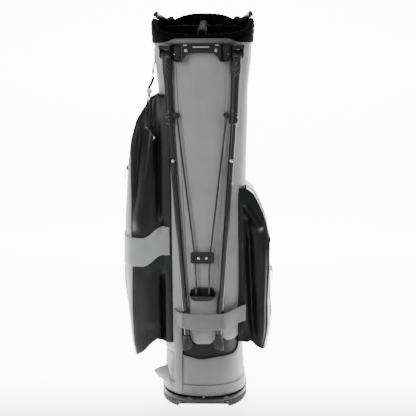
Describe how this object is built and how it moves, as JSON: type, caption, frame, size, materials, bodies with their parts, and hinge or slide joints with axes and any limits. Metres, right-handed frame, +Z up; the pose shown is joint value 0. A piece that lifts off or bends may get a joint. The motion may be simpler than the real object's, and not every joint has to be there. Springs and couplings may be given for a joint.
{
  "type": "golf stand bag",
  "caption": "Upright golf stand bag with folded front legs, padded divider mouth, side pockets and a foot flap whose push rod swings the legs out through a wire clamp.",
  "frame": {"origin": "middle of the base's resting face, on the floor", "axes": "+Z up along the bag, -Y towards the legs, +X towards the ball pocket"},
  "size_m": [0.3403, 0.2355, 0.871],
  "materials": {
    "grey_leather": "grey synthetic leather, fine grain",
    "dark_leather": "black synthetic leather, smooth satin",
    "black_plush": "black short-pile plush",
    "black_plastic": "black moulded plastic, satin",
    "painted_tube": "black gloss enamel on metal",
    "bright_steel": "nickel-plated steel",
    "foot_rubber": "dark grey rubber",
    "zip_metal": "dark plated zip metal",
    "black_mesh": "black woven mesh and zip tape",
    "white_bead": "white moulded bead",
    "black_cord": "black braided elastic cord"
  },
  "bodies": {
    "bag": {"lower_boot": "grey_leather", "front_panel": "grey_leather", "left_panel": "grey_leather", "right_panel": "grey_leather", "back_panel": "grey_leather", "binding_strip": "grey_leather", "pocket_band": "grey_leather", "grab_loop": "grey_leather", "cord_tab": "grey_leather", "recess_panel": "dark_leather", "apparel_pocket": "dark_leather", "ball_pocket": "dark_leather", "side_handle_left": "dark_leather", "side_handle_right": "dark_leather", "shoulder_strap_left": "dark_leather", "shoulder_strap_right": "dark_leather", "hip_pad": "dark_leather", "collar_padding": "black_plush", "divider_frame": "black_plush", "base_shell": "black_plastic", "top_collar": "black_plastic", "stand_yoke": "black_plastic", "hinge_block_left": "black_plastic", "hinge_block_right": "black_plastic", "rod_grommet": "black_plastic", "stay_left": "painted_tube", "stay_right": "painted_tube", "flap_hinge_pin": "bright_steel", "yoke_screw_left": "bright_steel", "yoke_screw_right": "bright_steel", "pivot_pin_left": "bright_steel", "pivot_pin_right": "bright_steel", "cord_ring": "bright_steel", "apparel_zip": "black_mesh", "mesh_sleeve": "black_mesh", "ball_zip": "black_mesh", "cord_bead": "white_bead", "cord_strand_left": "black_cord", "cord_strand_right": "black_cord", "cord_knot": "black_cord"},
    "foot_flap_body": {"foot_flap": "black_plastic"},
    "stand_actuator": {"wire_clamp": "black_plastic", "clamp_rivet_left": "bright_steel", "clamp_rivet_right": "bright_steel", "rod_fork": "painted_tube", "push_rod": "painted_tube"},
    "leg_left": {"leg_head_left": "black_plastic", "leg_tube_left": "painted_tube", "leg_foot_left": "foot_rubber"},
    "leg_right": {"leg_head_right": "black_plastic", "leg_tube_right": "painted_tube", "leg_foot_right": "foot_rubber"},
    "wire_left": {"spreader_wire_left": "painted_tube"},
    "wire_right": {"spreader_wire_right": "painted_tube"},
    "strap": {"leg_strap": "grey_leather"},
    "apparel_slider": {"apparel_zip_slider": "zip_metal"},
    "apparel_puller": {"apparel_zip_puller": "zip_metal"},
    "ball_slider": {"ball_zip_slider": "zip_metal"},
    "ball_puller": {"ball_zip_puller": "zip_metal"},
    "carry_ring": {"strap_ring": "bright_steel"}
  },
  "joints": [
    {"name": "foot_flap", "type": "hinge", "parent": "bag", "child": "foot_flap_body", "pos_m": [0, -0.011, 0.0045], "axis": [-1, 0, 0], "range_deg": [0, 10.5], "stiffness_Nm_per_rad": 2, "springref_deg": -14.32},
    {"name": "push_rod_slide", "type": "slide", "parent": "bag", "child": "stand_actuator", "axis": [0, 0, 1], "range_m": [0, 0.0143]},
    {"name": "leg_left_swing", "type": "hinge", "parent": "bag", "child": "leg_left", "pos_m": [-0.072, -0.09616, 0.777], "axis": [-0.866, 0.5, 0], "range_deg": [0, 22]},
    {"name": "leg_right_swing", "type": "hinge", "parent": "bag", "child": "leg_right", "pos_m": [0.072, -0.09616, 0.777], "axis": [-0.866, -0.5, 0], "range_deg": [0, 22]},
    {"name": "wire_left_swing", "type": "hinge", "parent": "stand_actuator", "child": "wire_left", "pos_m": [-0.0178, -0.11136, 0.359], "axis": [0.8537, -0.5087, 0.1112], "range_deg": [0, 9.35]},
    {"name": "wire_right_swing", "type": "hinge", "parent": "stand_actuator", "child": "wire_right", "pos_m": [0.0178, -0.11136, 0.359], "axis": [0.8537, 0.5087, -0.1112], "range_deg": [0, 9.35]},
    {"name": "leg_strap_open", "type": "hinge", "parent": "bag", "child": "strap", "pos_m": [-0.0655, -0.0802, 0.2075], "axis": [0, 0, -1], "range_deg": [0, 130], "deforming": ["leg_strap"]},
    {"name": "apparel_zip_slide", "type": "slide", "parent": "bag", "child": "apparel_slider", "axis": [-0.0663, 0, -0.9978], "range_m": [0, 0.105]},
    {"name": "apparel_puller_lift", "type": "hinge", "parent": "apparel_slider", "child": "apparel_puller", "pos_m": [-0.17228, -0.018, 0.52994], "axis": [0, 1, 0], "range_deg": [0, 90]},
    {"name": "ball_zip_slide", "type": "slide", "parent": "bag", "child": "ball_slider", "axis": [-0.0195, 0, -0.9998], "range_m": [0, 0.1]},
    {"name": "ball_puller_lift", "type": "hinge", "parent": "ball_slider", "child": "ball_puller", "pos_m": [0.1552, -0.018, 0.29938], "axis": [0, -1, 0], "range_deg": [0, 90]},
    {"name": "carry_ring_swing", "type": "hinge", "parent": "bag", "child": "carry_ring", "pos_m": [0.09521, 0.04573, 0.7765], "axis": [0.4329, -0.9014, 0], "range_deg": [0, 40]}
  ],
  "couplings": [
    {"joint": "push_rod_slide", "follows": "foot_flap", "m_per_rad": 0.07803},
    {"joint": "leg_left_swing", "follows": "foot_flap", "ratio": 2.0952},
    {"joint": "leg_right_swing", "follows": "foot_flap", "ratio": 2.0952},
    {"joint": "wire_left_swing", "follows": "foot_flap", "ratio": 0.8862},
    {"joint": "wire_right_swing", "follows": "foot_flap", "ratio": 0.8862},
    {"joint": "leg_strap_open", "follows": "foot_flap", "ratio": 12.38}
  ]
}
